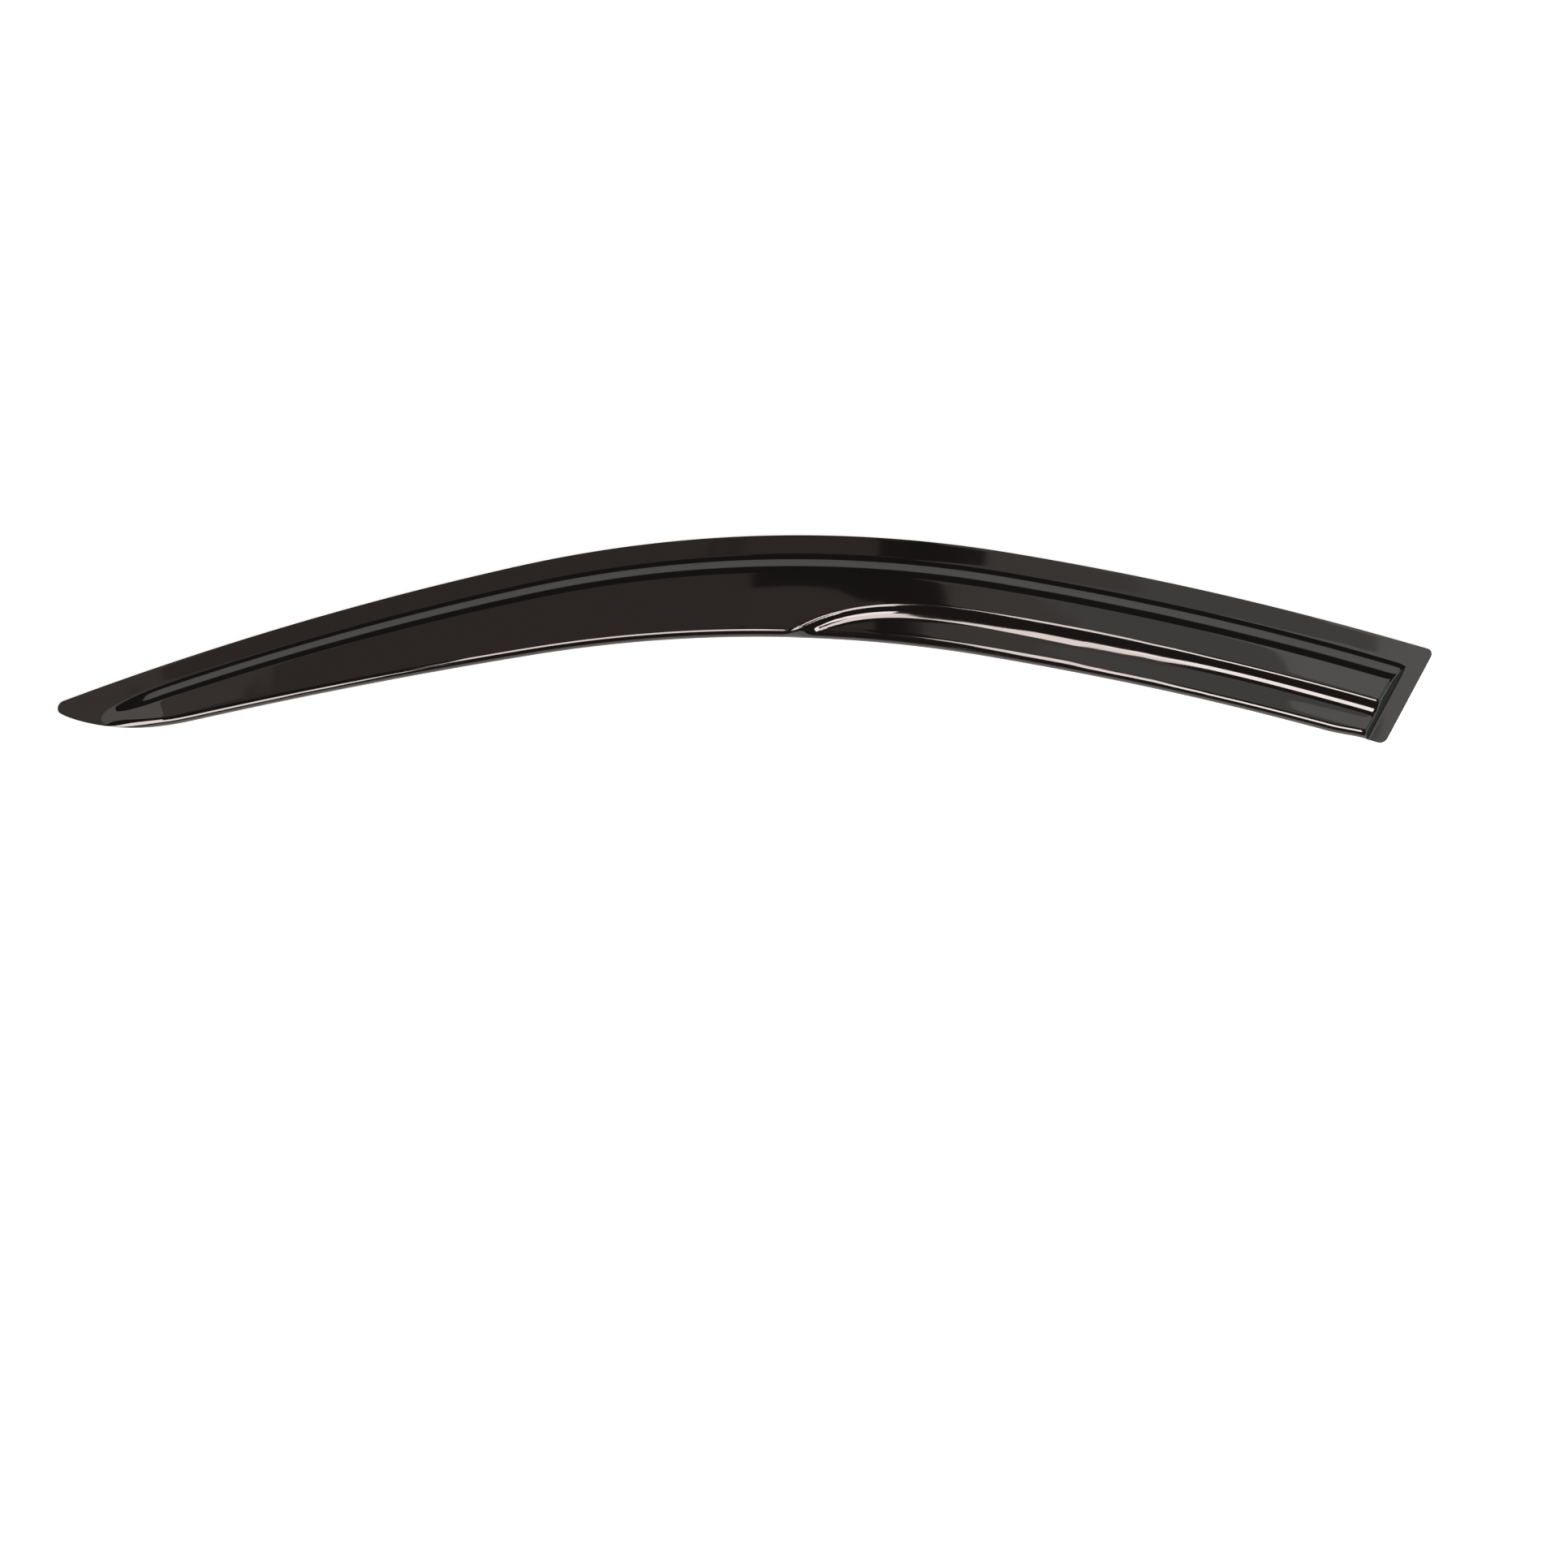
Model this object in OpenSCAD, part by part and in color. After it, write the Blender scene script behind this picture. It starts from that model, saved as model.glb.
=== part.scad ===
// Window rain deflector for a car's front door, taped to the window frame.
// Lies on its mounting side: the flange is level, the outer face looks up (+Z),
// +X runs towards the raked rear end and +Y towards the roof. Millimetres.
// The whole form hangs on the top edge. A place on it is given by s, the run along
// the top edge from the nose, and t, the distance in from that edge.

/* [Top edge] */
// Slope of the top edge where it leaves the nose, in degrees
nose_slope = 20.6; // [10:0.1:30]
// Run of the flat front arc, along the windscreen pillar
front_run = 370; // [250:1:450]
// Radius of the front arc
front_r = 2635; // [1500:10:6000]
// Run of the crown arc, where the pillar turns into the roof
crown_run = 373; // [250:1:450]
// Radius of the crown arc
crown_r = 982; // [800:5:1500]
// Run of the rear arc, along the roof
rear_run = 298; // [200:1:400]
// Radius of the rear arc
rear_r = 2580; // [1500:10:6000]
// Straight run that the rear end is built on
tail_run = 40; // [32:1:80]

/* [Outline] */
// Width of the rear half, in from the top edge
wide_w = 81.6; // [70:0.1:110]
// Width that the front taper starts from, at the nose
front_w = 37; // [30:0.1:60]
// Run over which the front taper reaches the full width
taper_run = 826; // [600:1:900]
// Distance that the point of the nose lies in from the line of the top edge
tip_in = 6.6; // [3:0.1:9]
// Run over which the top edge rounds off to that point
tip_run = 6.3; // [3:0.1:10]
// Run over which the lower edge rounds off to that point
nose_run = 100; // [80:1:140]
// Distance that the lower edge draws in again towards the rear end
tail_draw = 2.1; // [0:0.1:3]
// Run over which it draws in
draw_run = 30; // [15:1:60]
// Run before the rear end at which it has drawn in
draw_end = 15; // [6:1:18]
// Lean of the rear end away from square to the top edge, in degrees
tail_rake = 12.3; // [0:0.1:25]
// Run over which the sections turn into that lean
rake_run = 60; // [50:1:200]
// Radius of the upper rear corner
top_corner_r = 5.6; // [2:0.1:10]
// Radius of the lower rear corner
low_corner_r = 5; // [1:0.1:8]

/* [Sheet] */
// Thickness of the acrylic sheet
sheet_t = 2.5; // [2:0.1:3]

/* [Flange] */
// Flat width of the flange along the top edge, at the rear end
flange_w = 14; // [12:0.1:20]
// Flat width of that flange at the nose
front_flange_w = 12.2; // [12:0.1:20]
// Flat width of the flange at the rear end
tail_flange_w = 12.5; // [12:0.1:20]
// Run from the nose at which the raised form starts at the lower edge
nose_flat = 22; // [15:0.5:30]
// Run at which the upper wall reaches its full distance from the top edge
brow_start = 80; // [55:0.5:100]
// Extra flange width that the wall's foot line has taken up where it meets the lower edge
nose_spread = 2; // [1:0.1:16]

/* [Upper wall] */
// Rise of the upper wall at the rear end
wall_h = 11.2; // [10.5:0.1:14]
// Size of the wall at the nose, as a share of its size at the rear end
front_share = 0.7; // [0.6:0.01:1]
// Slope of the upper wall, in degrees
wall_slope = 45; // [40:1:60]
// Radius of the concave fillet at the wall's foot, at the rear end
wall_foot_r = 9.2; // [4:0.1:10]
// Radius of the brow, where the wall turns into the face, at the rear end
brow_r = 10.4; // [6:0.1:10.5]

/* [Face] */
// Slope at which the face goes on rising, in degrees
face_slope = 8; // [2:0.5:12]
// Rise that the face loses to its crown by the lower edge
face_crown = 1.5; // [0:0.1:3]

/* [Crease] */
// Distance of the crease from the top edge over the rear half
crease_t = 48.9; // [44:0.1:56]
// Run at which the crease leaves the lower edge
crease_start = 572; // [480:1:620]
// Run over which the crease sweeps up to its distance
crease_run = 164; // [80:1:200]
// Distance in from the full width at which it leaves the lower edge
crease_in = 2.3; // [0:0.1:5]
// Depth of the recess below the crease, at the rear end
crease_h = 7.8; // [3:0.1:8.5]
// Slope of the recess wall, in degrees
crease_slope = 35; // [25:1:45]
// Radius of the crest along the crease, at the rear end
crest_r = 8; // [5:0.1:9]
// Radius of the concave fillet at the foot of the recess wall, at the rear end
crease_foot_r = 12; // [4:0.1:13]
// Size of the crease where it starts, as a share of its size at the rear end
crease_share = 0.65; // [0.63:0.01:1]
// Run over which it grows to its full size
crease_growth = 330; // [150:10:450]

/* [Lower lip] */
// Drop of the rolled lip at the lower edge
lip_h = 7.5; // [6:0.1:9]
// Slope of the lip at its cut edge, in degrees
lip_slope = 80; // [60:1:84]
// Radius of the roll
lip_r = 7.5; // [4:0.1:8]

/* [Rear end wall] */
// Slope of the end wall, in degrees
tail_slope = 66; // [50:1:75]
// Radius of the concave fillet at its foot
tail_foot_r = 2; // [1:0.1:4]
// Radius in plan of the corner at which the end wall's foot meets the upper wall's foot
end_corner_r = 6; // [2:0.5:9]

/* [Mounting tape] */
// Width of both tapes
tape_w = 10; // [8:0.1:10.5]
// Thickness of the foam tape
tape_t = 1.1; // [0.8:0.05:2]
// Distance of the tapes from the flange's outer edges
tape_inset = 1.3; // [0.8:0.1:1.5]
// Run from the nose at which the top tape starts
tape_start = 16; // [14:0.5:40]
// Gap between the top tape and the rear tape
tape_gap = 1.5; // [1:0.1:5]
// Distance that the tapes' ends stop short of the rounded rear corners
tape_end_inset = 0.5; // [0.3:0.1:5]
// Thickness of the release film
liner_t = 0.15; // [0.1:0.01:0.3]
// Distance that the film stands out beyond the tape's long edges
liner_lip = 0.6; // [0.2:0.1:0.7]

/* [Hidden] */
// Powers of the curve that rounds the lower edge off into the nose
nose_powers = [2.56, 0.8];
// Power of the taper of the front half
taper_power = 2.2;
// Power of the curve on which the crease sweeps up
sweep_power = 3.4;
// Spacing of the sections along the top edge
station_gap = 14;
// Sections through the nose, and the power by which they draw together towards its point
nose_stations = 12;
nose_power = 2.6;
// Sections between the rear arc's end and the end wall, and sections up that wall
face_stations = 3;
wall_stations = 5;
// Share of a narrow section's width that may lie before the upper wall's foot
foot_share = 0.5;
// Least width of face between the brow and the lip that the rows are laid out for
least_face = 1.4;
// Least distance between the rows of the crease and those of the lip
least_gap = 1;
// Width from which a section's rows follow the crease
crease_room = 60;
// Places of the plain rows as shares of their way: along the face before the crease, and over a face
// that has no crease
face_shares = [0.35, 0.7];
plain_shares = [0.3, 0.8];
// Steps of the rows through the upper wall's fillet, the brow and the lip
foot_steps = 2;
brow_steps = 3;
lip_steps = 4;
// Slope of the upper wall's foot line against the top edge, over the nose
spread_slope = nose_spread / (brow_start - nose_flat);
// Height of the flange's underside above the ground that the film lies on
bed_h = tape_t + liner_t;
front_end = front_run;
crown_end = front_end + crown_run;
rear_end = crown_end + rear_run;
full_run = rear_end + tail_run;

function mix(a, b, u) = a + (b - a) * u;
function ease(u) = let(v = min(max(u, 0), 1)) v * v * (3 - 2 * v);

// Top edge: arcs that bend to the right, each starting where the last one ends, as [x, y, heading]
function along(p, run, r) =
    let(a = p[2], b = a - run / r * 180 / PI)
    [p.x + r * (sin(a) - sin(b)), p.y + r * (cos(b) - cos(a)), b];
nose_p = [0, 0, nose_slope];
front_p = along(nose_p, front_run, front_r);
crown_p = along(front_p, crown_run, crown_r);
rear_p = along(crown_p, rear_run, rear_r);
function top_edge(s) =
    s < front_end ? along(nose_p, s, front_r) :
    s < crown_end ? along(front_p, s - front_end, crown_r) :
    s < rear_end ? along(crown_p, s - crown_end, rear_r) :
    [rear_p.x + (s - rear_end) * cos(rear_p[2]), rear_p.y + (s - rear_end) * sin(rear_p[2]), rear_p[2]];

// Plan position of a place: in from the top edge, on a line that leans with the rear end
function lean(s) = tail_rake * tail_turn(s);
function plan(s, t) =
    let(p = top_edge(s), across = p[2] - 90 - lean(s), d = t / cos(lean(s)))
    [p.x + d * cos(across), p.y + d * sin(across)];

// Outline: the rounded tip and corners pull the section's two ends in
function corner(d, r) = d < r ? r - sqrt(r * r - (r - d) * (r - d)) : 0;
function tail_gap(s) = (full_run - s) * cos(tail_rake);
function upper_t(s) = tip_in * corner(s / tip_run, 1) + corner(tail_gap(s), top_corner_r);
function taper_w(s) = wide_w - (wide_w - front_w) * pow(max(1 - s / taper_run, 0), taper_power);
function nose_round(s) = pow(1 - pow(max(1 - s / nose_run, 0), nose_powers[0]), nose_powers[1]);
function tail_turn(s) = ease((s - rear_end + rake_run) / rake_run);
function draw(s) = tail_draw * ease((s - full_run + draw_end + draw_run) / draw_run);
function lower_t(s) =
    mix(tip_in, taper_w(s), nose_round(s)) - draw(s) - corner(tail_gap(s), low_corner_r);

// The upper wall grows towards the rear: its share of its full size, and the plan length of its slope
function growth(s) = mix(front_share, 1, s / full_run);
function brow_plan(s) = growth(s) * wall_h / tan(wall_slope);

// Feature lines: the upper wall's foot corner, and the crest of the crease
wall_half = tan(wall_slope / 2);
function top_flange_w(s) = mix(front_flange_w, flange_w, s / full_run);
function foot_t(s) =
    top_flange_w(s) + growth(s) * wall_foot_r * wall_half
    + max(brow_start - s, 0) * spread_slope;
function crest_t(s) = crease_t + (wide_w - crease_t - crease_in)
    * pow(max((crease_start + crease_run - s) / crease_run, 0), sweep_power);

// The crease grows in the same way, from where it starts: its share, and the plan length of its slope
function crease_size(s) = mix(crease_share, 1, ease((s - crease_start) / crease_growth));
function crease_plan(s) = crease_size(s) * crease_h / tan(crease_slope);

// Rise of a rounded step at distance d past its lower corner, or fall past its upper corner:
// level, first arc, straight slope, second arc, level. The arcs share the slope's length.
function step(d, h, slope, r1, r2) =
    let(
        half = tan(slope / 2),
        fit = min(1, h / sin(slope) / ((r1 + r2) * half)),
        a = r1 * fit,
        b = r2 * fit,
        from_end = h / tan(slope) + b * half - d
    )
    d <= -a * half ? 0 :
    d < a * sin(slope) - a * half ? a - sqrt(a * a - pow(d + a * half, 2)) :
    from_end > b * sin(slope) ? d * tan(slope) :
    from_end > 0 ? h - b + sqrt(b * b - from_end * from_end) : h;

// The inner skin is the same steps, set back by the sheet's thickness: o is 0 outside, sheet_t inside
function rise(d, h, slope, foot_r, top_r, o) =
    step(d - o * tan(slope / 2), h, slope, foot_r + o, max(top_r - o, 0.1));
function fall(d, h, slope, top_r, foot_r, o) =
    step(d + o * tan(slope / 2), h, slope, max(top_r - o, 0.1), foot_r + o);

// The rolled lip: falls along its arc to the slope of the cut edge, then straight
lip_plan = lip_r * sin(lip_slope) + (lip_h - lip_r * (1 - cos(lip_slope))) / tan(lip_slope);
function lip_fall(d, o) =
    let(r = lip_r - o)
    d <= 0 ? 0 :
    d < r * sin(lip_slope) ? r - sqrt(r * r - d * d) :
    r * (1 - cos(lip_slope)) + (d - r * sin(lip_slope)) * tan(lip_slope);

// Width over which the face loses its crown
crown_w = wide_w - foot_t(full_run) - brow_plan(full_run);

// How far the raised form has grown out of the flat nose
function raised(s) = ease((s - nose_flat) / (brow_start - nose_flat));

// Height of the skin above its own flange, before the rear end wall cuts it
function form_h(s, t, o) =
    let(
        d = t - foot_t(s),
        g = growth(s),
        c = crease_size(s),
        face_d = max(d, 0),
        brow = brow_plan(s),
        past_brow = face_d - brow,
        face_rise = tan(face_slope) * (past_brow < 0 ? face_d * face_d / (2 * brow) : past_brow + brow / 2),
        crown_u = max(past_brow, 0) / crown_w,
        wall = rise(d, g * wall_h, wall_slope, g * wall_foot_r, g * brow_r, o),
        recess = fall(t - crest_t(s), c * crease_h, crease_slope, c * crest_r, c * crease_foot_r, o),
        lip = lip_fall(t - (lower_t(s) - lip_plan), o)
    )
    max(0, wall + face_rise - face_crown * crown_u * crown_u - recess - lip) * raised(s);

// Rear end wall: its rise at distance e from the rear end, and the distance at which it has risen by h
tail_half = tan(tail_slope / 2);
tail_foot = tail_flange_w + tail_foot_r * tail_half;
tail_arc_h = tail_foot_r * (1 - cos(tail_slope));
function tail_h(e, o) =
    let(r = tail_foot_r + o, d = e - tail_foot - o * tail_half, arc_d = d + r * tail_half)
    arc_d <= 0 ? 0 :
    arc_d < r * sin(tail_slope) ? r - sqrt(r * r - arc_d * arc_d) : d * tan(tail_slope);
function tail_reach(h, o) =
    let(r = tail_foot_r + o)
    tail_foot + o * tail_half + (h < r * (1 - cos(tail_slope))
        ? sqrt(r * r - (r - h) * (r - h)) - r * tail_half
        : h / tan(tail_slope));

// Height of the skin: the lower of the two. Where the walls' feet meet, both walls are set back by what a
// round of end_corner_r takes off a square corner.
function skin_h(s, t, e, o) =
    let(
        r = end_corner_r,
        near = [t - top_flange_w(s), e - tail_flange_w],
        rounded = r - norm([max(r - near.x, 0), max(r - near.y, 0)]),
        back = max(near) < r ? max(min(near) - rounded, 0) : 0
    )
    min(form_h(s, t - back, o), tail_h(e - back, o));

// Rows of a section, from the top edge to the lower edge, laid along its arcs. On the lip the sheet is
// cut square to its own slope, so the inner skin ends short of the outer one, and on the rear flange it is
// cut upright. A section in the nose has the rows of a wider one, drawn in.
function even_rows(from, to, n) = [for (i = [0:n]) mix(from, to, i / n)];
function least_room(s) =
    (brow_plan(s) + growth(s) * brow_r * wall_half + least_face + lip_plan) / (1 - foot_share);
function rows(s, o, on_lip) =
    let(
        top = upper_t(s),
        cut = on_lip ? o * sin(lip_slope) * raised(s) : 0,
        bottom = lower_t(s) - cut,
        room = max(bottom - top, least_room(s)),
        foot = min(foot_t(s), foot_share * room) + o * wall_half,
        foot_l = (growth(s) * wall_foot_r + o) * wall_half,
        brow = foot + brow_plan(s),
        brow_l = (growth(s) * brow_r - o) * wall_half,
        face = brow + brow_l,
        lip = room - lip_plan + cut,
        crest_l = crease_size(s) * crest_r * tan(crease_slope / 2),
        recess_l = crease_size(s) * crease_foot_r * tan(crease_slope / 2),
        crest = min(crest_t(s) - top, lip - crease_plan(s) - recess_l - least_gap),
        recess = crest + crease_plan(s),
        crease_rows = room < crease_room
            ? even_rows(mix(face, lip, plain_shares[0]), mix(face, lip, plain_shares[1]), 4)
            : concat([crest - crest_l, crest + crest_l * cos(crease_slope)],
                     even_rows(recess - recess_l * cos(crease_slope), recess + recess_l, 2)),
        raw = concat(
            [0, (foot - foot_l) / 2],
            even_rows(foot - foot_l, foot + foot_l * cos(wall_slope), foot_steps),
            even_rows(brow - brow_l * cos(wall_slope), face, brow_steps),
            [for (u = face_shares) mix(face, crease_rows[0], u)],
            crease_rows,
            [(crease_rows[4] + lip) / 2],
            [for (i = [0:lip_steps]) mix(lip, room, sin(90 * i / lip_steps))]
        )
    )
    [for (r = raw) top + r * (bottom - top) / room];

// Sections along the top edge, each as [s, rise]: rise is how far up the rear end wall it lies,
// from 0 at the wall's foot to 1 at its top edge, or -1 where s alone places it
function at_tail(e) = full_run - e / cos(tail_rake);
main_stations = ceil((rear_end - nose_run) / station_gap);
face_top = max([for (t = rows(rear_end, 0, true)) form_h(rear_end, t, 0)]);
wall_top = at_tail(tail_reach(face_top, 0));
stations = concat(
    [for (i = [1:nose_stations]) [nose_run * pow(i / nose_stations, nose_power), -1]],
    [for (i = [1:main_stations]) [mix(nose_run, rear_end, i / main_stations), -1]],
    [for (i = [1:face_stations - 1]) [mix(rear_end, wall_top, i / face_stations), -1]],
    [for (i = [wall_stations:-1:0]) [0, i / wall_stations]],
    [for (e = concat(tail_flange_w - sheet_t, [1, 0.5, 0.2, 0] * top_corner_r)) [at_tail(e), -1]]
);

// One point of a skin: o is its depth in the sheet
function skin_point(station, k, o) =
    let(
        up = station[1],
        s0 = up < 0 ? station[0] : at_tail(tail_foot),
        t = rows(s0, o, up >= 0 || s0 < wall_top)[k],
        e = up < 0 ? tail_gap(s0) : tail_reach(up * max(form_h(s0, t, o), tail_arc_h), o),
        p = plan(at_tail(e), t)
    )
    [p.x, p.y, bed_h + sheet_t - o + skin_h(s0, t, e, o)];

// Shell between two grids of points, closed along the cut edges
module visor_shell() {
    n = len(stations);
    m = len(rows(rear_end, 0, true));
    points = [for (o = [0, sheet_t]) for (st = stations) for (k = [0:m - 1]) skin_point(st, k, o)];
    inner = n * m;
    loop = concat(
        [for (i = [0:n - 1]) i * m],
        [for (k = [1:m - 1]) (n - 1) * m + k],
        [for (i = [n - 2:-1:0]) i * m + m - 1],
        [for (k = [m - 2:-1:1]) k]
    );
    outer_faces = [for (i = [0:n - 2]) for (k = [0:m - 2]) let(a = i * m + k)
        each [[a, a + m, a + m + 1], [a, a + m + 1, a + 1]]];
    inner_faces = [for (f = outer_faces) [f[0] + inner, f[2] + inner, f[1] + inner]];
    edge_faces = [for (i = [0:len(loop) - 1]) let(a = loop[i], b = loop[(i + 1) % len(loop)])
        each [[a, inner + a, inner + b], [a, inner + b, b]]];
    polyhedron(points, concat(outer_faces, inner_faces, edge_faces), convexity = 8);
}

// The middle of the outline, so that the part stands over the origin
outline = [for (st = stations, o = [upper_t(st[0]), lower_t(st[0])]) if (st[1] < 0) plan(st[0], o)];
mid = [for (axis = [0, 1]) let(v = [for (p = outline) p[axis]]) (min(v) + max(v)) / 2];
module centred() {
    translate([-mid.x, -mid.y, 0]) children();
}

// A band along the top edge, between two distances from it
function band(from, to, near, far) =
    let(n = ceil((to - from) / station_gap), run = [for (i = [0:n]) mix(from, to, i / n)])
    concat([for (s = run) plan(s, near)], [for (i = [n:-1:0]) plan(run[i], far)]);

// Plan of both tapes, and with a lip of the film under them
module top_strip(lip) {
    polygon(band(tape_start, at_tail(top_corner_r + tape_end_inset),
                 tape_inset - lip, tape_inset + tape_w + lip));
}

module rear_strip(lip) {
    near = tape_inset + tape_w + tape_gap;
    far = wide_w - tail_draw - low_corner_r - tape_end_inset;
    polygon([
        for (c = [[tape_inset - lip, near], [tape_inset - lip, far],
                  [tape_inset + tape_w + lip, far], [tape_inset + tape_w + lip, near]])
            plan(at_tail(c[0]), c[1])
    ]);
}

module visor() {
    color([0.13, 0.11, 0.11]) centred() visor_shell();
}

module top_tape() {
    color([0.2, 0.2, 0.21]) centred() translate([0, 0, liner_t]) linear_extrude(tape_t) top_strip(0);
}

module top_liner() {
    color([0.75, 0.12, 0.1]) centred() linear_extrude(liner_t) top_strip(liner_lip);
}

module rear_tape() {
    color([0.2, 0.2, 0.21]) centred() translate([0, 0, liner_t]) linear_extrude(tape_t) rear_strip(0);
}

module rear_liner() {
    color([0.75, 0.12, 0.1]) centred() linear_extrude(liner_t) rear_strip(liner_lip);
}

visor();
top_tape();
top_liner();
rear_tape();
rear_liner();
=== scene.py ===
import bpy
import numpy as np
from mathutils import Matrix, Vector

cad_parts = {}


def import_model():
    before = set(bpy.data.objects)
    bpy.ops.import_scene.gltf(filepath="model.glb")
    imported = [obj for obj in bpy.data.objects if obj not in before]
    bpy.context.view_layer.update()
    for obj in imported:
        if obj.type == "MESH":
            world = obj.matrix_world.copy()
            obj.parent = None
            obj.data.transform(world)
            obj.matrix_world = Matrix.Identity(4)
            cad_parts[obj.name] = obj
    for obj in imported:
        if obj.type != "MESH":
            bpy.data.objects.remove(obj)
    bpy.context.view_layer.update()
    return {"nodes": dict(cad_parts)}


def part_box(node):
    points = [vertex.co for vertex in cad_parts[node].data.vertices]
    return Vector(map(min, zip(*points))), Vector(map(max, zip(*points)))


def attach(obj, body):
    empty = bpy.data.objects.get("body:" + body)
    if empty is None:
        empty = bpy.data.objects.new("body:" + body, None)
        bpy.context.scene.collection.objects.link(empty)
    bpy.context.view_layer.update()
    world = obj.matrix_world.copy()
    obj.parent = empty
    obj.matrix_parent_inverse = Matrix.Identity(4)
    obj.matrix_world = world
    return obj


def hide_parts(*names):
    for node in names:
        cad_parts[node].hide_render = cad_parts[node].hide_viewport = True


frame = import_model()

MM = 0.001
NO_LENGTH = 1e-9

# Top edge: its slope at the nose in degrees, its arcs as length and radius, and a straight stretch
NOSE_SLOPE = 20.6
ARCS = ((370, 2635), (373, 982), (298, 2580))
TAIL_RUN = 40
FULL_RUN = sum(length for length, radius in ARCS) + TAIL_RUN

# Width of the section over the rear half, and the taper towards the nose
WIDE_W = 81.6
FRONT_W = 37.0
TAPER_RUN = 826
TAPER_POWER = 2.2

# Nose: the inset of its point, and the rounds of the top edge and of the lower edge up to it
TIP_IN = 6.6
TIP_RUN = 6.3
NOSE_RUN = 100
NOSE_START_POWER = 2.56
NOSE_END_POWER = 0.8

# Rear end: how the lower edge draws in, the lean away from square in degrees, and the corners
TAIL_DRAW = 2.1
DRAW_RUN = 30
DRAW_END = 15
TAIL_RAKE = 12.3
RAKE_RUN = 60
TOP_CORNER_R = 5.6
LOW_CORNER_R = 5

# Thickness of the sheet and of the tape and film that it lies on, and the least fillet of its inner face
SHEET_T = 2.5
BED_H = 1.25
LEAST_R = 0.1

# Flange: flat width at the rear, at the nose and along the rear end
FLANGE_W = 14.0
FRONT_FLANGE_W = 12.2
TAIL_FLANGE_W = 12.0

# Upper wall at the rear end, and its size at the nose as a share of that
WALL_H = 11.2
WALL_SLOPE = 45
WALL_FOOT_R = 9.2
BROW_R = 10.4
FRONT_SHARE = 0.70

# Nose of the raised form: where it starts, where it is full, and how far its foot spreads there
NOSE_FLAT = 22
BROW_START = 80
NOSE_SPREAD = 2

# Face below the wall: slope at which it goes on rising, what it loses to its crown, and its width
FACE_SLOPE = 8
FACE_CROWN = 1.5
FACE_W = WIDE_W - FLANGE_W - WALL_H

# Crease: its level inset, where it leaves the lower edge, its sweep, its section, and its growth
CREASE_INSET = 48.9
CREASE_IN = 2.3
CREASE_START = 572
CREASE_RUN = 164
SWEEP_POWER = 3.4
CREASE_H = 8.1
CREASE_SLOPE = 36
CREST_R = 6
CREASE_FOOT_R = 18
CREASE_SHARE = 0.65
CREASE_GROWTH = 330

# Rolled lip along the lower edge
LIP_H = 7.5
LIP_SLOPE = 80
LIP_R = 8.5

# End wall: its slope and foot, the narrow round in which it meets the face, the broad one in which it
# meets the upper wall, and the width over which the broad one turns into the narrow one
TAIL_SLOPE = 64
TAIL_FOOT_R = 2
TAIL_EDGE_SOFT = 2.4
CORNER_SOFT = 5.5
CORNER_W = 14

# Bell of heights taken off where the feet of the two walls meet: its height, its reach, the share of it
# that turns back to level, and the height under which it is left out
CORNER_DROP = 0.8
CORNER_REACH = 5
CORNER_TURN = 0.3
NO_DROP = 1e-4

# Cut edge of the sheet: the run over which it turns square to the lip, the round of its corners, the share
# of the nearest row's distance that the round may take, and the angles of its rings
CUT_RUN = 6
EDGE_R = 0.3
EDGE_SHARE = 0.4
EDGE_TURNS = (30, 60, 90)

# Rows of a section: how many lie between its marks and on the lip, and the least widths between marks
ROW_COUNTS = (6, 14, 4, 9, 11, 8, 4, 9, 7)
LIP_ROWS = 14
LEAST_FACE = 2
LEAST_RECESS = 1
LEAST_GAP = 0.3

# Sections: how many lie along the nose, the body, the end wall, the rear flange and the corner's round
NOSE_SECTIONS, BODY_SECTIONS, WALL_SECTIONS, FLANGE_SECTIONS, ROUND_SECTIONS = 80, 290, 90, 8, 16

# Share of the nose's steps at which the first section stands, the power that crowds them towards the tip,
# and the distance from the rear end at which the sections of the end wall begin
FIRST_SECTION = 1 / 12
NOSE_CROWDING = 2.6
END_ZONE = 30

# Real sizes of the patterns: waves of the formed sheet, cells of the foam, creases of the film
WAVE_L = 60
CELL_W = 0.6
FOLD_L = 20

# Camera: the middle and the width of its view, in millimetres, and its height and sensor width
VIEW_X, VIEW_Y, VIEW_W = 30.01, -110.85, 1198.2
CAMERA_Z = 3.0
SENSOR_W = 36

# Stage, in metres: half the width of the table, the white it shows to the camera, and the world's light
TABLE_HALF = 15
TABLE_GLOW = 0.65
WORLD_LIGHT = 0.12

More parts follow.
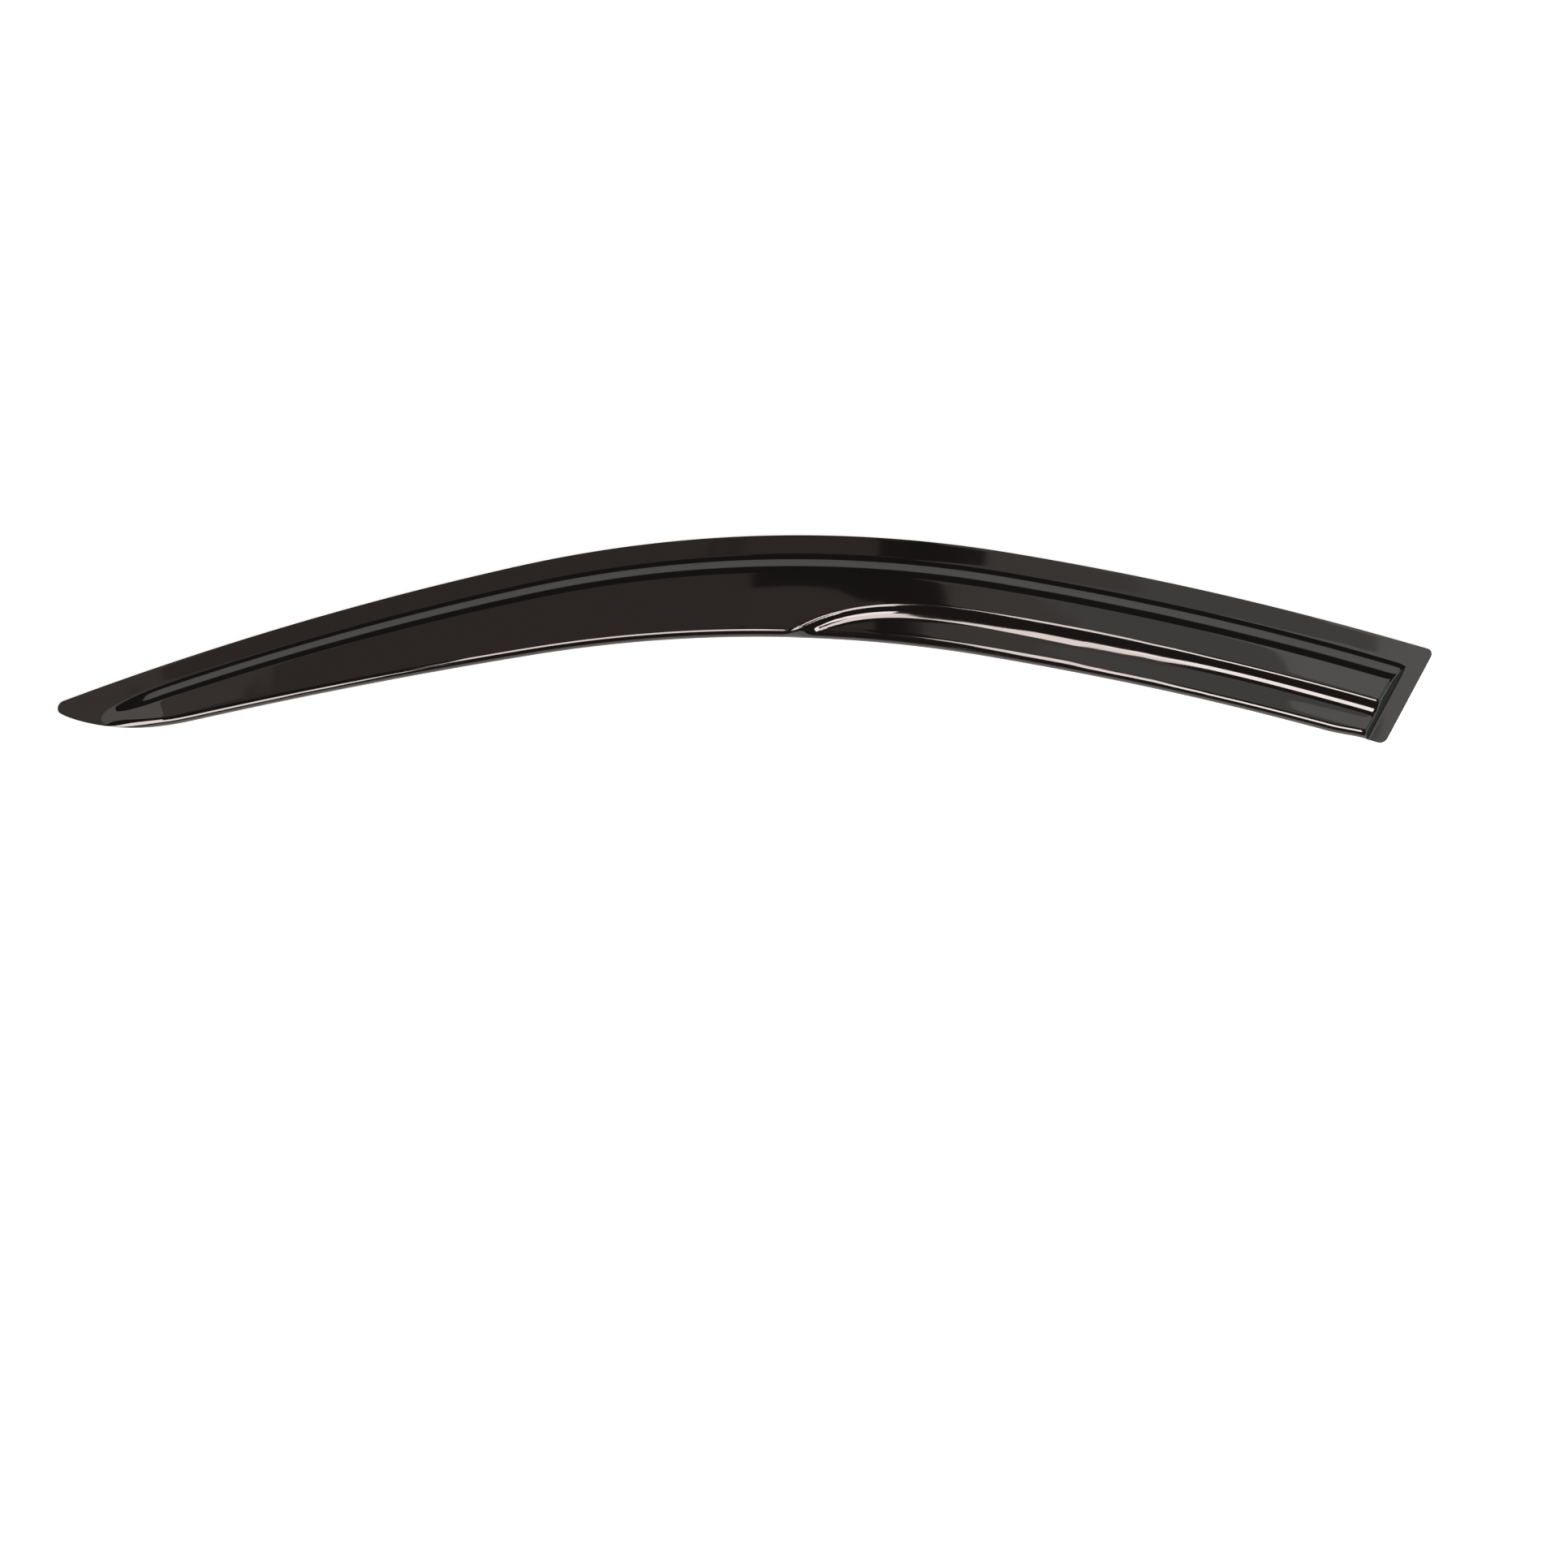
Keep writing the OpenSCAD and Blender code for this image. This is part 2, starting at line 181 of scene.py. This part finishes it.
# Softboxes that face straight down. The strips draw the lines of light along the nose, the lip and the
# crease, and the ceiling panels give the level faces their greys. Each has its place, its size, its
# radiance, its colour, and whether it also lights matt surfaces.
STRIP_Z = 1.0
CEILING_Z = 1.5
OVERHEAD = (
    ("left_strip", (-0.11, -0.66, STRIP_Z), (0.24, 0.42), 18, "FFF4F0", False),
    ("nose_strip", (-1.04, -2.3, STRIP_Z), (1.74, 2.0), 18, "FFF4F0", False),
    ("tip_strip", (-1.35, -1.1, STRIP_Z), (1.1, 0.4), 18, "FFF4F0", False),
    ("crease_strip", (0.24, -0.42, STRIP_Z), (0.14, 0.62), 18, "FFF4F0", False),
    ("rear_strip", (0.39, -1.02, STRIP_Z), (0.36, 0.60), 22, "FFF8F6", True),
    ("tip_ceiling", (-1.7, 0.2, CEILING_Z), (1.4, 1.3), 1.6, "FFFBF4", True),
    ("nose_ceiling", (-0.85, 0.2, CEILING_Z), (0.3, 1.3), 0.7, "FFF2EC", True),
    ("front_ceiling", (-0.37, 0.2, CEILING_Z), (0.66, 1.3), 0.42, "FFECE6", True),
    ("crown_ceiling", (0.07, 0.41, CEILING_Z), (0.22, 0.15), 0.45, "FFECE6", True),
    ("flange_ceiling", (0.05, -0.07, CEILING_Z), (0.17, 0.76), 0.42, "FFECE6", True),
    ("middle_ceiling", (0.335, 0.2, CEILING_Z), (0.17, 1.3), 0.82, "FFF6F2", True),
    ("rear_ceiling", (0.56, 0.2, CEILING_Z), (0.28, 1.3), 1.02, "FFFFFF", True),
    ("end_ceiling", (1.05, 0.2, CEILING_Z), (0.70, 1.3), 1.9, "FFFFFF", True),
)


def sin_d(angle):
    return np.sin(np.radians(angle))


def cos_d(angle):
    return np.cos(np.radians(angle))


def tan_d(angle):
    return np.tan(np.radians(angle))


def ease(u):
    """Smooth step from 0 to 1: three squares less two cubes."""
    v = np.clip(u, 0, 1)
    return v * v * (3 - 2 * v)


def mix(a, b, u):
    """From a to b by the share u."""
    return a + (b - a) * u


# Plan
def along(start, length, radius):
    """End of an arc that bends to the right: the chord of a circle from its heading to the next."""
    x, y, heading = start
    turned = heading - np.degrees(length / radius)
    return (x + radius * (sin_d(heading) - sin_d(turned)),
            y + radius * (cos_d(turned) - cos_d(heading)), turned)


def top_edge(run):
    """Place and heading on the top edge: each stretch picks its own arc, and the last one is straight."""
    start, begun = (0.0, 0.0, NOSE_SLOPE), 0
    here = along(start, run, ARCS[0][1])
    for length, radius in ARCS:
        arc = along(start, run - begun, radius)
        here = tuple(np.where(run >= begun, new, old) for new, old in zip(arc, here))
        start, begun = along(start, length, radius), begun + length
    x, y, heading = start
    past = run - begun
    straight = (x + past * cos_d(heading), y + past * sin_d(heading), heading + 0 * run)
    return tuple(np.where(past >= 0, new, old) for new, old in zip(straight, here))


def plan(run, inset):
    """Point at an inset from the top edge, on a line that leans away from square towards the rear end. The
    way along the line is the inset over the cosine of the lean."""
    x, y, heading = top_edge(run)
    lean = TAIL_RAKE * ease((run - (FULL_RUN - TAIL_RUN) + RAKE_RUN) / RAKE_RUN)
    across = heading - 90 - lean
    way = inset / cos_d(lean)
    return x + way * cos_d(across), y + way * sin_d(across)


def corner(gap, radius):
    """How far a round pulls the outline in at a gap from the end: its radius less its circle's height."""
    height = np.sqrt(np.clip(radius ** 2 - (radius - gap) ** 2, 0, None))
    return np.where(gap < radius, radius - height, 0)


def tail_gap(run):
    """Distance from the rear end, square to it."""
    return (FULL_RUN - run) * cos_d(TAIL_RAKE)


def top_inset(run):
    """Inset at which the section starts: nothing, but for the rounds at the point and the upper corner."""
    return TIP_IN * corner(run / TIP_RUN, 1) + corner(tail_gap(run), TOP_CORNER_R)


def low_inset(run):
    """Inset of the lower edge: the full width less a power of what is left of the taper, rounded off into
    the nose by a power of a power, less the draw at the rear and the round of the lower corner."""
    taper = np.clip(1 - run / TAPER_RUN, 0, None) ** TAPER_POWER
    wide = WIDE_W - (WIDE_W - FRONT_W) * taper
    nose = (1 - np.clip(1 - run / NOSE_RUN, 0, None) ** NOSE_START_POWER) ** NOSE_END_POWER
    draw = TAIL_DRAW * ease((run - FULL_RUN + DRAW_END + DRAW_RUN) / DRAW_RUN)
    return mix(TIP_IN, wide, nose) - draw - corner(tail_gap(run), LOW_CORNER_R)


# Section
def growth(run):
    """Size of the upper wall as a share of its size at the rear end, growing evenly from the nose."""
    return mix(FRONT_SHARE, 1, run / FULL_RUN)


def flange_w(run):
    """Flat width of the flange, growing evenly from the nose."""
    return mix(FRONT_FLANGE_W, FLANGE_W, run / FULL_RUN)


def foot_inset(run):
    """Inset of the upper wall's lower corner: the flange, the fillet's tangent, and a spread that grows
    evenly towards the nose."""
    fillet = growth(run) * WALL_FOOT_R * tan_d(WALL_SLOPE / 2)
    spread = NOSE_SPREAD / (BROW_START - NOSE_FLAT)
    return flange_w(run) + fillet + np.clip(BROW_START - run, 0, None) * spread


def crest_inset(run):
    """Inset of the crease's crest: level over the rear half, and before that a power of the run that is
    left, which sweeps it down to the lower edge."""
    sweep = np.clip((CREASE_START + CREASE_RUN - run) / CREASE_RUN, 0, None) ** SWEEP_POWER
    return CREASE_INSET + (WIDE_W - CREASE_INSET - CREASE_IN) * sweep


def crease_size(run):
    """Size of the crease as a share of its size at the rear end, growing along a smooth step."""
    return mix(CREASE_SHARE, 1, ease((run - CREASE_START) / CREASE_GROWTH))


def raised(run):
    """Share of its height that the form has: a smooth step up from the flat tip of the nose."""
    return ease((run - NOSE_FLAT) / (BROW_START - NOSE_FLAT))


def step(past, height, slope, low_r, high_r):
    """Rise of a step at a distance past its lower corner: level, arc, straight slope, arc, level. Where
    the slope is too short for its two arcs, one share draws both in."""
    half = tan_d(slope / 2)
    fit = np.minimum(1, height / sin_d(slope) / ((low_r + high_r) * half))
    low_r, high_r = low_r * fit, high_r * fit
    left = height / tan_d(slope) + high_r * half - past
    low_arc = low_r - np.sqrt(np.clip(low_r ** 2 - (past + low_r * half) ** 2, 0, None))
    high_arc = height - high_r + np.sqrt(np.clip(high_r ** 2 - left ** 2, 0, None))
    stretches = [past <= -low_r * half, past < low_r * (sin_d(slope) - half),
                 left > high_r * sin_d(slope), left > 0]
    return np.select(stretches, [0 * past, low_arc, past * tan_d(slope), high_arc], height + 0 * past)


def rise(past, height, slope, foot_r, top_r, depth):
    """Step up, at a depth in the sheet: the fillet at its foot grows by the depth, the one at its top
    shrinks by it, and its corner moves so that the sheet keeps its thickness."""
    moved = past - depth * tan_d(slope / 2)
    return step(moved, height, slope, foot_r + depth, np.maximum(top_r - depth, LEAST_R))


def fall(past, height, slope, top_r, foot_r, depth):
    """Step down, at a depth in the sheet, by the same rule as a step up."""
    moved = past + depth * tan_d(slope / 2)
    return step(moved, height, slope, np.maximum(top_r - depth, LEAST_R), foot_r + depth)


# Width of the rolled lip seen from above: its arc, then its straight slope
LIP_W = LIP_R * sin_d(LIP_SLOPE) + (LIP_H - LIP_R * (1 - cos_d(LIP_SLOPE))) / tan_d(LIP_SLOPE)


def lip_fall(past, depth):
    """Drop of the rolled lip: along its arc to the slope of the cut edge, then straight."""
    r = LIP_R - depth
    arc = r - np.sqrt(np.clip(r ** 2 - past ** 2, 0, None))
    straight = r * (1 - cos_d(LIP_SLOPE)) + (past - r * sin_d(LIP_SLOPE)) * tan_d(LIP_SLOPE)
    return np.select([past <= 0, past < r * sin_d(LIP_SLOPE)], [0 * past, arc], straight)


def form_height(run, inset, depth):
    """Height above the flange: the wall, plus a face that rises from a parabola under the wall into a
    straight slope, less a crown that is the square of the way over the face, the crease and the lip."""
    grown = growth(run)
    wall_w = grown * WALL_H / tan_d(WALL_SLOPE)
    past = inset - foot_inset(run)
    wall = rise(past, grown * WALL_H, WALL_SLOPE, grown * WALL_FOOT_R, grown * BROW_R, depth)
    on_form = np.clip(past, 0, None)
    on_face = on_form - wall_w
    face = tan_d(FACE_SLOPE) * np.where(on_face < 0, on_form ** 2 / (2 * wall_w), on_face + wall_w / 2)
    crown = FACE_CROWN * (np.clip(on_face, 0, None) / FACE_W) ** 2
    size = crease_size(run)
    recess = fall(inset - crest_inset(run), size * CREASE_H, CREASE_SLOPE,
                  size * CREST_R, size * CREASE_FOOT_R, depth)
    lip = lip_fall(inset - (low_inset(run) - LIP_W), depth)
    return np.clip(wall + face - crown - recess - lip, 0, None) * raised(run)


def tail_height(gap, depth):
    """Rise of the end wall at a gap from the rear end: level, arc, straight slope."""
    r, half = TAIL_FOOT_R + depth, tan_d(TAIL_SLOPE / 2)
    past = gap - TAIL_FLANGE_W - TAIL_FOOT_R * half - depth * half
    on_arc = past + r * half
    arc = r - np.sqrt(np.clip(r ** 2 - on_arc ** 2, 0, None))
    straight = past * tan_d(TAIL_SLOPE)
    return np.select([on_arc <= 0, on_arc < r * sin_d(TAIL_SLOPE)], [0 * past, arc], straight)


def lower_of(a, b, soft):
    """The lower of two heights, eased where they meet by the hyperbola that has them as asymptotes. Its
    size fades out with the product of the heights, so that the foot of both walls stays level."""
    product = a * b
    size = soft ** 2 * product / (product + soft ** 2)
    return np.clip((a + b - np.sqrt((a - b) ** 2 + size)) / 2, 0, None)


def skin(run, inset, depth):
    """Points of the sheet at a depth below its outer face. The end wall meets the upper wall in a broad
    round and the face in a narrow one. Where the feet of the two walls meet, a bell of heights is taken
    off, and a hyperbola turns what is left back to level."""
    gap = tail_gap(run)
    from_wall, from_end = inset - flange_w(run), gap - TAIL_FLANGE_W
    soft = mix(CORNER_SOFT, TAIL_EDGE_SOFT, ease(from_wall / CORNER_W))
    height = lower_of(form_height(run, inset, depth), tail_height(gap, depth), soft)
    drop = CORNER_DROP * np.exp(-(from_wall ** 2 + from_end ** 2) / CORNER_REACH ** 2)
    left = height - drop
    turned = (left + np.sqrt(left ** 2 + CORNER_TURN * drop ** 2)) / 2
    x, y = plan(run, inset)
    return np.stack([x, y, BED_H + SHEET_T - depth + np.where(drop > NO_DROP, turned, height)], -1)


# Grid
def section_insets(run, depth):
    """Insets of the rows in every section. Marks stand where the fillets, the crease and the lip begin and
    end, each one before the next, with evenly spaced rows between them. On the lip the rows draw together
    towards the cut edge as a sine does. A section too narrow for its marks is drawn in by one share."""
    grown, half = growth(run), tan_d(WALL_SLOPE / 2)
    top = top_inset(run)
    cut = depth * sin_d(LIP_SLOPE) * raised(run) * ease((tail_gap(run) - TAIL_FLANGE_W) / CUT_RUN)
    width = low_inset(run) - cut - top
    wall_w = grown * WALL_H / tan_d(WALL_SLOPE)
    room = np.maximum(width, 2 * (wall_w + grown * BROW_R * half + LEAST_FACE + LIP_W))
    lip = room - LIP_W + cut
    foot = np.minimum(foot_inset(run), room / 2) + depth * half
    foot_l, brow_l = (grown * WALL_FOOT_R + depth) * half, (grown * BROW_R - depth) * half
    size = crease_size(run)
    crest_l, recess_l = (size * r * tan_d(CREASE_SLOPE / 2) for r in (CREST_R, CREASE_FOOT_R))
    crease_w = size * CREASE_H / tan_d(CREASE_SLOPE)
    crest = np.minimum(crest_inset(run) - top, lip - crease_w - recess_l - LEAST_RECESS)
    marks = [0 * run, foot - foot_l, foot + foot_l, foot + wall_w - brow_l, foot + wall_w + brow_l,
             crest - crest_l, crest + crest_l, crest + crease_w - recess_l, crest + crease_w + recess_l,
             lip, room]
    for i in range(len(marks) - 2, 0, -1):
        marks[i] = np.minimum(marks[i], marks[i + 1] - LEAST_GAP)
    rows = [mix(a, b, i / count)
            for a, b, count in zip(marks, marks[1:], ROW_COUNTS) for i in range(count)]
    rows += [mix(lip, room, sin_d(90 * i / LIP_ROWS)) for i in range(LIP_ROWS + 1)]
    return top[:, None] + np.stack(rows, 1) * (width / room)[:, None]


def run_at(gap):
    """Run at a gap from the rear end."""
    return FULL_RUN - gap / cos_d(TAIL_RAKE)


def stations():
    """Runs of the sections: crowded towards the tip by a power, evenly spaced along the body, close
    together up the end wall, and by equal angles round the upper corner."""
    nose = NOSE_RUN * np.linspace(FIRST_SECTION, 1, NOSE_SECTIONS) ** NOSE_CROWDING
    body = np.linspace(NOSE_RUN, run_at(END_ZONE), BODY_SECTIONS)
    wall = run_at(np.linspace(END_ZONE, TAIL_FLANGE_W, WALL_SECTIONS))
    flange = run_at(np.linspace(TAIL_FLANGE_W, TOP_CORNER_R, FLANGE_SECTIONS))
    turn = run_at(TOP_CORNER_R * (1 - sin_d(np.linspace(0, 90, ROUND_SECTIONS))))
    return np.concatenate([nose, body[1:], wall[1:], flange[1:], turn[1:]])


def grid_faces(rows, columns, first):
    """Quads of a grid of points, as an array of four indices each."""
    a = (np.arange(rows - 1)[:, None] * columns + np.arange(columns - 1)).ravel() + first
    return np.stack([a, a + 1, a + columns + 1, a + columns], 1)


def border(rows, columns):
    """Loop of grid places round the edge of a grid, clockwise seen from above."""
    i = np.concatenate([np.arange(rows), np.full(columns - 1, rows - 1),
                        np.arange(rows - 2, -1, -1), np.zeros(columns - 2)])
    k = np.concatenate([np.zeros(rows), np.arange(1, columns),
                        np.full(rows - 1, columns - 1), np.arange(columns - 2, 0, -1)])
    return i.astype(int), k.astype(int)


def unit(v):
    """Vectors over their own lengths."""
    return v / np.maximum(np.linalg.norm(v, axis=-1, keepdims=True), NO_LENGTH)


def eased_edge(grid, i, k, side):
    """Moves the border of a skin in by a radius, and returns the rings of the quarter round that leads
    from there to the cut edge. The side is 1 for the outer skin and -1 for the inner one."""
    rows, columns = grid.shape[:2]
    rim = grid[i, k]
    reach = grid[np.clip(i, 1, rows - 2), np.clip(k, 1, columns - 2)] - rim
    tangent = unit(np.roll(rim, -1, 0) - np.roll(rim, 1, 0))
    inward = unit(reach - np.sum(reach * tangent, -1, keepdims=True) * tangent)
    into_sheet = side * unit(np.cross(tangent, inward))
    r = np.minimum(EDGE_R, EDGE_SHARE * np.linalg.norm(reach, axis=-1))[:, None]
    grid[i, k] = rim + r * inward
    return [rim + r * (inward * (1 - sin_d(turn)) + into_sheet * (1 - cos_d(turn))) for turn in EDGE_TURNS]


def place(points):
    """Moves the form over the CAD visor, in metres, and draws in what is larger than the visor's box."""
    lo, hi = points.min(0), points.max(0)
    box_lo, box_hi = (np.array(v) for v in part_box("visor"))
    fit = np.minimum(MM, (box_hi - box_lo) / (hi - lo))
    middle, target = (lo + hi) / 2, (box_lo + box_hi) / 2
    middle[2], target[2] = lo[2], box_lo[2]
    return (points - middle) * fit + target


def mesh_piece(name, points, faces, body="root"):
    """Object at the origin from points in metres and quads, shaded smooth, riding on a body."""
    mesh = bpy.data.meshes.new(name)
    mesh.vertices.add(len(points))
    mesh.vertices.foreach_set("co", points.astype(np.float32).ravel())
    mesh.loops.add(faces.size)
    mesh.loops.foreach_set("vertex_index", faces.astype(np.int32).ravel())
    mesh.polygons.add(len(faces))
    mesh.polygons.foreach_set("loop_start", np.arange(0, faces.size, 4, dtype=np.int32))
    mesh.update(calc_edges=True)
    mesh.validate()
    mesh.shade_smooth()
    piece = bpy.data.objects.new(name, mesh)
    bpy.context.collection.objects.link(piece)
    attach(piece, body)
    return piece


def visor():
    """Outer and inner skin of the sheet, joined all round by a cut edge with eased corners."""
    run = stations()
    skins = []
    for depth in (0, SHEET_T):
        insets = section_insets(run, depth)
        skins.append(skin(np.repeat(run[:, None], insets.shape[1], 1), insets, depth))
    rows, columns = skins[0].shape[:2]
    i, k = border(rows, columns)
    rings = eased_edge(skins[0], i, k, 1) + eased_edge(skins[1], i, k, -1)[::-1]
    points = place(np.concatenate([grid.reshape(-1, 3) for grid in skins] + rings))
    skin_size, ring_size = rows * columns, len(i)
    loops = [i * columns + k]
    loops += [2 * skin_size + j * ring_size + np.arange(ring_size) for j in range(len(rings))]
    loops += [skin_size + i * columns + k]
    faces = [grid_faces(rows, columns, 0), grid_faces(rows, columns, skin_size)[:, ::-1]]
    faces += [np.stack([a, np.roll(a, -1), np.roll(b, -1), b], 1) for a, b in zip(loops, loops[1:])]
    return mesh_piece("acrylic_visor", points, np.concatenate(faces))


# Materials
def srgb(text):
    """Linear colour with alpha from an sRGB hex value."""
    c = np.array([int(text[i:i + 2], 16) for i in (0, 2, 4)]) / 255
    return (*np.where(c <= 0.04045, c / 12.92, ((c + 0.055) / 1.055) ** 2.4), 1.0)


def new_material(name):
    """Material with an empty node tree."""
    material = bpy.data.materials.new(name)
    material.use_nodes = True
    material.node_tree.nodes.clear()
    return material


def node(tree, kind, settings=None, values=None, links=None):
    """Adds a node, sets its properties and socket values, and links outputs to its inputs."""
    made = tree.nodes.new(kind)
    for key, value in (settings or {}).items():
        setattr(made, key, value)
    for key, value in (values or {}).items():
        made.inputs[key].default_value = value
    for key, (source, output) in (links or {}).items():
        tree.links.new(source.outputs[output], made.inputs[key])
    return made


def lifted_surface(name, texture, pattern, lift, bump, look):
    """Material whose texture, read at the real place on the piece, lifts its surface: pattern holds the
    texture's values, lift is its output, and bump and look are the values of the bump and the shader."""
    material = new_material(name)
    tree = material.node_tree
    spot = node(tree, "ShaderNodeTexCoord")
    relief = node(tree, texture, values=pattern, links={"Vector": (spot, "Object")})
    raised_by = node(tree, "ShaderNodeBump", values=bump, links={"Height": (relief, lift)})
    shader = node(tree, "ShaderNodeBsdfPrincipled", values=look, links={"Normal": (raised_by, "Normal")})
    node(tree, "ShaderNodeOutputMaterial", links={"Surface": (shader, "BSDF")})
    return material


def smoked_acrylic():
    """Smoked acrylic sheet, drawn over a mould while hot. The eye gets a near black, slightly warm depth
    under a clear gloss, with sharp reflections that the slow waves of the formed sheet bend a little."""
    return lifted_surface(
        "thermoformed_smoked_acrylic", "ShaderNodeTexNoise",
        {"Scale": 1 / (WAVE_L * MM), "Detail": 1, "Roughness": 0.4}, "Fac",
        {"Strength": 0.5, "Distance": 1.4 * MM},
        {"Base Color": srgb("0F0B0A"), "Roughness": 0.05, "IOR": 1.49, "Specular Tint": srgb("FFFAF8")})


def foam_tape():
    """Double-sided acrylic foam tape, cut from a roll. The eye gets a soft, matt grey edge, broken by the
    closed cells that the knife has opened."""
    return lifted_surface(
        "acrylic_foam_tape", "ShaderNodeTexVoronoi", {"Scale": 1 / (CELL_W * MM)}, "Distance",
        {"Strength": 0.4, "Distance": 0.1 * MM},
        {"Base Color": srgb("4A4A4C"), "Roughness": 0.75, "IOR": 1.45})


def release_film():
    """Silicone-coated release film, laid on from a roll. The eye gets a thin, bright red line with a satin
    shine that faint creases break up."""
    return lifted_surface(
        "silicone_coated_release_film", "ShaderNodeTexNoise",
        {"Scale": 1 / (FOLD_L * MM), "Detail": 3}, "Fac",
        {"Strength": 0.3, "Distance": 0.2 * MM},
        {"Base Color": srgb("C0201C"), "Roughness": 0.3, "IOR": 1.5})


def white_table():
    """Matt painted table top. The camera and glossy surfaces see it as white, by a glow that only they
    see, and it keeps the shadow."""
    material = new_material("white_table")
    tree = material.node_tree
    path = node(tree, "ShaderNodeLightPath")
    seen = node(tree, "ShaderNodeMath", {"operation": "MAXIMUM"},
                links={0: (path, "Is Camera Ray"), 1: (path, "Is Glossy Ray")})
    glow = node(tree, "ShaderNodeMath", {"operation": "MULTIPLY", "use_clamp": True}, {1: TABLE_GLOW},
                {0: (seen, "Value")})
    shader = node(tree, "ShaderNodeBsdfPrincipled",
                  values={"Base Color": srgb("F2F2F2"), "Roughness": 0.9,
                          "Emission Color": srgb("FFFFFF")},
                  links={"Emission Strength": (glow, "Value")})
    node(tree, "ShaderNodeOutputMaterial", links={"Surface": (shader, "BSDF")})
    return material


def finish_nodes(material, *names):
    """Gives CAD nodes a material, in all of their slots."""
    for name in names:
        slots = frame["nodes"][name].material_slots
        if not slots:
            frame["nodes"][name].data.materials.append(material)
        for slot in slots:
            slot.material = material


# Stage
def table():
    """Square table top at the height on which the part lies."""
    corners = [(x * TABLE_HALF, y * TABLE_HALF, 0) for x, y in ((-1, -1), (1, -1), (1, 1), (-1, 1))]
    mesh = bpy.data.meshes.new("table")
    mesh.from_pydata(corners, [], [(0, 1, 2, 3)])
    mesh.materials.append(white_table())
    top = bpy.data.objects.new("table", mesh)
    bpy.context.collection.objects.link(top)


def lamp(name, stand, target, size, radiance, colour, lights_matt):
    """Softbox of a size in metres that faces a target. Its power is radiance times pi times area."""
    data = bpy.data.lights.new(name, "AREA")
    data.shape = "RECTANGLE"
    data.size, data.size_y = size
    data.energy = radiance * np.pi * size[0] * size[1]
    data.color = srgb(colour)[:3]
    light = bpy.data.objects.new(name, data)
    light.visible_diffuse = lights_matt
    light.location = stand
    light.rotation_mode = "QUATERNION"
    light.rotation_quaternion = (Vector(stand) - Vector(target)).to_track_quat("Z", "Y")
    bpy.context.collection.objects.link(light)


def camera():
    """Long lens straight above, framed as the photograph is: the view's width is taken at the flange."""
    data = bpy.data.cameras.new("camera")
    data.sensor_width = SENSOR_W
    data.lens = SENSOR_W * (CAMERA_Z - (BED_H + SHEET_T) * MM) / (VIEW_W * MM)
    eye = bpy.data.objects.new("camera", data)
    eye.location = (VIEW_X * MM, VIEW_Y * MM, CAMERA_Z)
    bpy.context.collection.objects.link(eye)
    bpy.context.scene.camera = eye


def world():
    """Dim, even white all round."""
    shade = bpy.data.worlds.new("studio")
    shade.use_nodes = True
    tree = shade.node_tree
    tree.nodes.clear()
    back = node(tree, "ShaderNodeBackground", values={"Color": srgb("FFFFFF"), "Strength": WORLD_LIGHT})
    node(tree, "ShaderNodeOutputWorld", links={"Surface": (back, "Background")})
    bpy.context.scene.world = shade


camera()
world()
table()
for name, stand, size, radiance, colour, lights_matt in OVERHEAD:
    lamp(name, stand, (stand[0], stand[1], 0), size, radiance, colour, lights_matt)
# Panel beside the rear end, which the end wall mirrors in the view from above
lamp("east_panel", (1.40, -0.57, 0.80), (0.5, -0.05, 0), (0.9, 0.45), 2.8, "EAFFFF", False)

shell = visor()
shell.data.materials.append(smoked_acrylic())
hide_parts("visor")
finish_nodes(foam_tape(), "top_tape", "rear_tape")
finish_nodes(release_film(), "top_liner", "rear_liner")

bpy.context.scene.view_settings.view_transform = "Standard"
